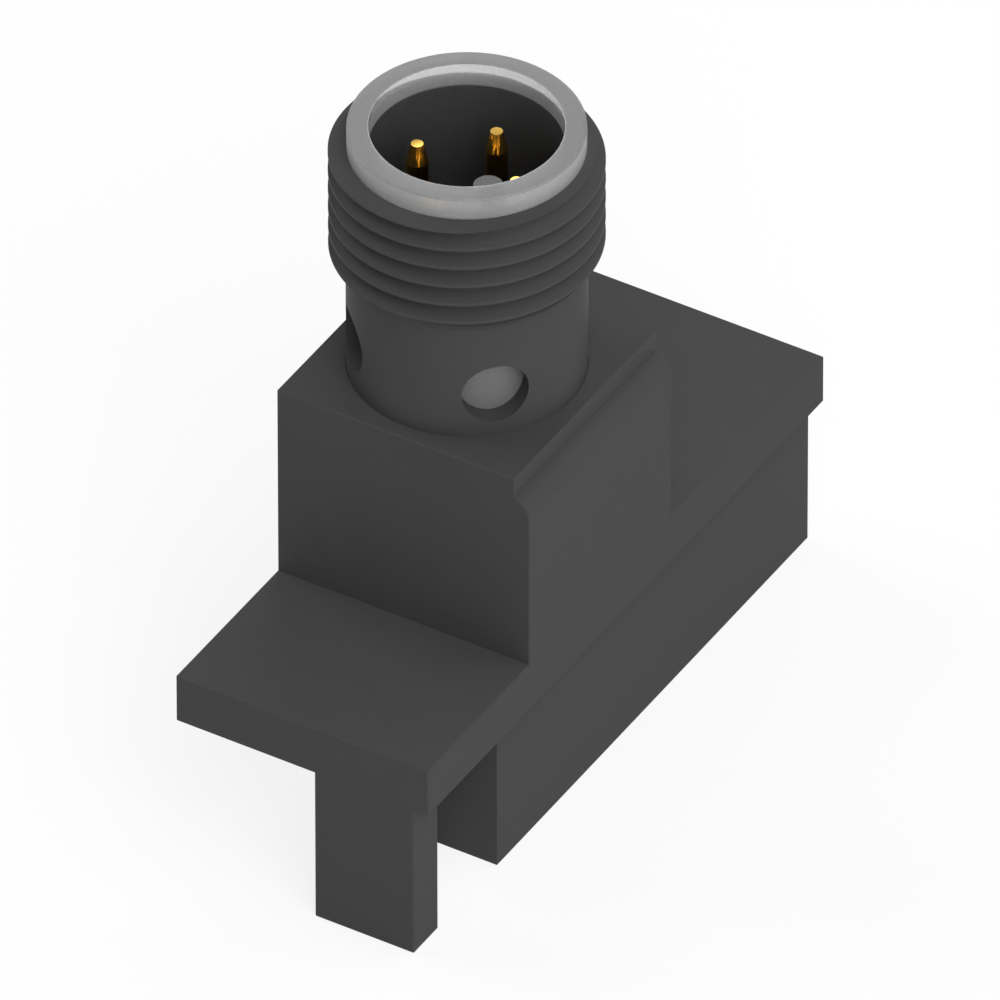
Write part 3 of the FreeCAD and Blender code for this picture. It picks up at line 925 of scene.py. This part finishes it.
    def window_cutters(self, solid: SolidTree) -> bpy.types.NodeSocket:
        """Adds the nodes of the drills that cut the windows.

        Args:
            solid: The tree that gets the nodes.

        Returns:
            The drills' geometry.
        """
        names = ("Window Radius", "Window Height", "Window Angle", "Drill Middle", "Drill Length")
        radius, height, first, middle, length = (solid.input(name) for name in names)
        count = solid.input("Windows", INTEGER)
        index = solid.add("GeometryNodeInputIndex").outputs[0]
        swept = solid.math("DIVIDE", solid.math("MULTIPLY", index, math.tau), count)
        angle = solid.math("ADD", first, swept)
        place = solid.add(
            "ShaderNodeCombineXYZ",
            {
                0: solid.math("MULTIPLY", middle, solid.math("COSINE", angle)),
                1: solid.math("MULTIPLY", middle, solid.math("SINE", angle)),
                2: height,
            },
        ).outputs[0]
        points = solid.add("GeometryNodePoints", {"Count": count, "Position": place}).outputs[0]
        drill = solid.add(
            "GeometryNodeMeshCylinder",
            {"Vertices": self.drill_columns, "Radius": radius, "Depth": length},
        ).outputs["Mesh"]
        turned = solid.add("ShaderNodeCombineXYZ", {0: 0.0, 1: math.pi / 2, 2: angle}).outputs[0]
        rotation = solid.add("FunctionNodeEulerToRotation", {0: turned}).outputs[0]
        copies = {"Points": points, "Instance": drill, "Rotation": rotation}
        drills = solid.add("GeometryNodeInstanceOnPoints", copies).outputs[0]
        return solid.add("GeometryNodeRealizeInstances", {0: drills}).outputs[0]

    def cutting_tree(self) -> SolidTree:
        """Makes the tree that cuts the thread and the windows into the blank.

        Returns:
            The tree. It takes millimetres and gives metres.
        """
        solid = SolidTree("thread and windows")
        blank = solid.given.outputs["Geometry"]
        cut = solid.add("GeometryNodeMeshBoolean", operation="DIFFERENCE", solver="EXACT")
        solid.tree.links.new(blank, cut.inputs[0])
        for cutter in (self.groove_cutter(solid), self.window_cutters(solid)):
            solid.tree.links.new(cutter, cut.inputs[1])
        metres = {"Geometry": cut.outputs[0], "Scale": (MM, MM, MM)}
        scaled = solid.add("GeometryNodeTransform", metres).outputs[0]
        smooth = solid.add("GeometryNodeSetShadeSmooth", {0: scaled}).outputs[0]
        real = solid.add("GeometryNodeRealizeInstances", {0: smooth}).outputs[0]
        finish = {"Geometry": real, "Material": solid.input("Finish", MATERIAL)}
        dressed = solid.add("GeometryNodeSetMaterial", finish).outputs[0]
        solid.tree.links.new(dressed, solid.result.inputs[0])
        return solid

    def build(self, material: bpy.types.Material) -> bpy.types.Object:
        """Makes the tube and puts it in the place of its CAD node.

        Args:
            material: The tube's material.

        Returns:
            The finished piece.
        """
        low, high = (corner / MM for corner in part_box("connector_tube"))
        block_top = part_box("housing")[1].z / MM
        blank = show("tube_blank", self.blank(low, high))
        slope = (high.x - self.flank_foot) / self.flank_share
        neck_top = high.z - self.thread_length - self.foot_bevel
        values = {
            "Pitch": self.pitch,
            "Flank Foot": self.flank_foot,
            "Groove Root": self.groove_root,
            "Flank Slope": slope,
            "Root Share": self.root_share,
            "Crest Height": block_top + self.crest_height,
            "Cutter Foot": neck_top - self.neck_taper * self.cutter_dip,
            "Cutter Top": high.z + self.pitch * self.cutter_rise,
            "Cutter Radius": high.x + self.cutter_wall,
            "Columns": self.columns,
            "Rows Per Turn": self.rows_per_turn,
            "Window Radius": self.window_radius,
            "Window Height": block_top + self.window_height,
            "Window Angle": math.radians(self.window_angle),
            "Drill Middle": self.radius - self.drill_inset,
            "Drill Length": self.drill_length,
            "Windows": self.windows,
            "Finish": material,
        }
        mesh = self.cutting_tree().apply(blank, values, "threaded_tube")
        mesh.set_sharp_from_angle(angle=math.radians(self.sharp_angle))
        tube = show("threaded_tube", mesh)
        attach(tube, BODY)
        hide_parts("connector_tube")
        LOG.info("threaded_tube: %d faces", len(mesh.polygons))
        return tube


@dataclass
class Connector:
    """The connector: threaded tube, light guide, contact pins, round board and its lights.

    Attributes:
        frame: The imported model.
        groups: The shared shader groups.
        tube: Sizes of the threaded tube.
        guide: Finish of the light guide.
        pins: Finish of the contact pins.
        chamber_radius: Radius of the guide's bore, in millimetres.
        skin: How far from the bore's wall the guide's skin and its rib start, in millimetres.
    """

    frame: Frame
    groups: SharedGroups
    tube: ThreadedTube
    guide: GuideFinish
    pins: PinFinish
    chamber_radius: float = 4.25
    skin: float = 0.04

    def build(self) -> None:
        """Makes the tube and dresses the pieces in and under it."""
        self.tube.build(TUBE_PLASTIC.material(self.groups))
        mouth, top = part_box("connector_tube")[1].z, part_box("light_guide")[1].z
        outer, inner = ((self.chamber_radius + side * self.skin) * MM for side in (1.0, -1.0))
        guide_plastic = self.guide.material(self.groups, top, mouth, outer, inner)
        self.frame.dress(guide_plastic, Slot.GUIDE)
        foot, tip = (corner.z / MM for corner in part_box("contact_pin_1"))
        self.frame.dress(self.pins.material(self.groups, tip - foot), Slot.PIN)
        self.frame.dress(LED_RESIN.material(self.groups), Slot.LED)


@dataclass
class HousingGroup:
    """The moulded housing and the plug that closes its key."""

    frame: Frame
    groups: SharedGroups

    def build(self) -> None:
        """Dresses the housing and its plug."""
        self.frame.dress(HOUSING_PLASTIC.material(self.groups), Slot.HOUSING)


@dataclass
class Electronics:
    """The boards, the flexible strip, the components and the resin inside the housing."""

    frame: Frame
    groups: SharedGroups

    def build(self) -> None:
        """Dresses every hidden piece."""
        finishes = {
            Slot.BOARD: BOARD_LAMINATE,
            Slot.FLEX: FLEX_FILM,
            Slot.CHIP: CHIP_MOULD,
            Slot.CAPACITOR: CAPACITOR_CERAMIC,
            Slot.RESISTOR: RESISTOR_CERAMIC,
            Slot.RESIN: CASTING_RESIN,
        }
        for slot, finish in finishes.items():
            self.frame.dress(finish.material(self.groups), slot)


# Studio


@dataclass(frozen=True)
class Lamp:
    """A soft round lamp that points at the sensor.

    Attributes:
        name: The lamp's name.
        azimuth: Its direction, in degrees; 0 is in front and 90 on the right.
        elevation: Its height above the horizon, in degrees.
        distance: Its distance, in metres.
        size: Its diameter, in metres.
        power: Its power, in watts.
    """

    name: str
    azimuth: float
    elevation: float
    distance: float
    size: float
    power: float

    def build(self, aim: Vector) -> None:
        """Makes the lamp.

        Args:
            aim: The point that it faces.
        """
        data = bpy.data.lights.new(self.name, "AREA")
        data.shape = "DISK"
        data.size = self.size
        data.energy = self.power
        lamp = bpy.data.objects.new(self.name, data)
        direction = towards(self.azimuth, self.elevation)
        lamp.location = aim + direction * self.distance
        lamp.rotation_mode = "QUATERNION"
        lamp.rotation_quaternion = (-direction).to_track_quat("-Z", "Y")
        bpy.context.scene.collection.objects.link(lamp)


def towards(azimuth: float, elevation: float) -> Vector:
    """Gives a direction from the sensor outwards.

    Args:
        azimuth: Degrees from the front (-Y) towards the right (+X).
        elevation: Degrees above the horizon.

    Returns:
        The direction, one long.
    """
    turn, rise = math.radians(azimuth), math.radians(elevation)
    level = math.cos(rise)
    return Vector((math.sin(turn) * level, -math.cos(turn) * level, math.sin(rise)))


@dataclass
class Studio:
    """Floor, backdrop, lamps and camera.

    Attributes:
        lamps: The soft lamps.
        floor_size: Side of the floor, in metres.
        floor_white: Colour of the floor, linear.
        backdrop_share: How much of the floor is drawn as plain backdrop, from 0 to 1.
        azimuth: The camera's direction, in degrees.
        elevation: Its height above the horizon, in degrees.
        roll: Its turn about its own axis, in degrees.
        distance: Its distance, in metres.
        lens: Its focal length, in millimetres, for a sensor 36 wide.
        aim: The point on its axis, in millimetres.
    """

    lamps: Sequence[Lamp]
    floor_size: float = 6.0
    floor_white: float = 0.88
    backdrop_share: float = 0.8
    azimuth: float = 31.041
    elevation: float = 38.796
    roll: float = 0.055
    distance: float = 1.7146
    lens: float = 1420.7
    aim: tuple[float, float, float] = (0.743, 1.516, 4.004)

    def seen_directly(self, tree: bpy.types.NodeTree) -> bpy.types.NodeSocket:
        """Gives 1 for what the camera sees, by itself or in metal and glass, and else 0."""
        path = add_node(tree, "ShaderNodeLightPath").outputs
        seen = calculate(tree, "MAXIMUM", path["Is Camera Ray"], path["Is Glossy Ray"])
        return calculate(tree, "MAXIMUM", seen, path["Is Transmission Ray"])

    def build_world(self) -> None:
        """Makes the white backdrop, which gives no light of its own."""
        world = bpy.data.worlds.new("studio")
        world.use_nodes = True
        tree = world.node_tree
        background = tree.nodes["Background"]
        background.inputs["Color"].default_value = (1.0, 1.0, 1.0, 1.0)
        tree.links.new(self.seen_directly(tree), background.inputs["Strength"])
        bpy.context.scene.world = world

    def build_floor(self) -> None:
        """Makes the pale floor that the sensor stands on."""
        half = self.floor_size / 2
        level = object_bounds()[0].z
        mesh = bpy.data.meshes.new("floor")
        ways = ((-1, -1), (1, -1), (1, 1), (-1, 1))
        corners = [(x * half, y * half, level) for x, y in ways]
        mesh.from_pydata(corners, [], [(0, 1, 2, 3)])
        material = bpy.data.materials.new("pale floor")
        material.use_nodes = True
        tree = material.node_tree
        tree.nodes.remove(tree.nodes["Principled BSDF"])
        white = (self.floor_white, self.floor_white, self.floor_white, 1.0)
        matt = add_node(tree, "ShaderNodeBsdfDiffuse", {"Color": white})
        bright = {"Color": (1.0, 1.0, 1.0, 1.0), "Strength": 1.0}
        plain = add_node(tree, "ShaderNodeEmission", bright)
        share = calculate(tree, "MULTIPLY", self.seen_directly(tree), self.backdrop_share)
        mix = {0: share, 1: matt.outputs[0], 2: plain.outputs[0]}
        mixed = add_node(tree, "ShaderNodeMixShader", mix)
        tree.links.new(mixed.outputs[0], tree.nodes["Material Output"].inputs["Surface"])
        mesh.materials.append(material)
        show("floor", mesh)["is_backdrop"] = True

    def build_camera(self) -> None:
        """Makes the camera at the photograph's viewing angle."""
        data = bpy.data.cameras.new("camera")
        data.lens = self.lens
        data.clip_start, data.clip_end = 0.1, 20.0
        camera = bpy.data.objects.new("camera", data)
        direction = towards(self.azimuth, self.elevation)
        camera.location = Vector(self.aim) * MM + direction * self.distance
        camera.rotation_mode = "QUATERNION"
        facing = (-direction).to_track_quat("-Z", "Y")
        turn = Matrix.Rotation(math.radians(-self.roll), 3, "Z").to_quaternion()
        camera.rotation_quaternion = facing @ turn
        bpy.context.scene.collection.objects.link(camera)
        bpy.context.scene.camera = camera

    def build(self) -> None:
        """Makes the whole studio."""
        self.build_world()
        self.build_floor()
        for lamp in self.lamps:
            lamp.build(Vector(self.aim) * MM)
        self.build_camera()
        bpy.context.scene.view_settings.view_transform = "Standard"


LAMPS = (
    Lamp("key lamp", azimuth=45.0, elevation=35.0, distance=0.5, size=0.4, power=2.0),
    Lamp("high lamp", azimuth=80.0, elevation=62.0, distance=0.5, size=0.4, power=0.85),
    Lamp("left lamp", azimuth=-90.0, elevation=35.0, distance=0.5, size=0.4, power=1.4),
    Lamp("rear lamp", azimuth=190.0, elevation=40.0, distance=0.5, size=0.4, power=0.65),
    Lamp("side lamp", azimuth=137.0, elevation=30.0, distance=0.5, size=0.4, power=0.55),
)


def main() -> None:
    """Loads the frame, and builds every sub-assembly and the studio."""
    logging.basicConfig(level=logging.INFO, format="%(name)s: %(message)s")
    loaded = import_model()
    slots = {row["node"]: row["material_slot"] for row in loaded["record"]["subparts"]}
    frame = Frame(loaded["nodes"], slots)
    groups = SharedGroups(surface_grain_group(), guide_zone_group(), pin_tip_group())
    HousingGroup(frame, groups).build()
    Connector(frame, groups, ThreadedTube(), GuideFinish(), PinFinish()).build()
    Electronics(frame, groups).build()
    Studio(LAMPS).build()


if __name__ == "__main__":
    main()
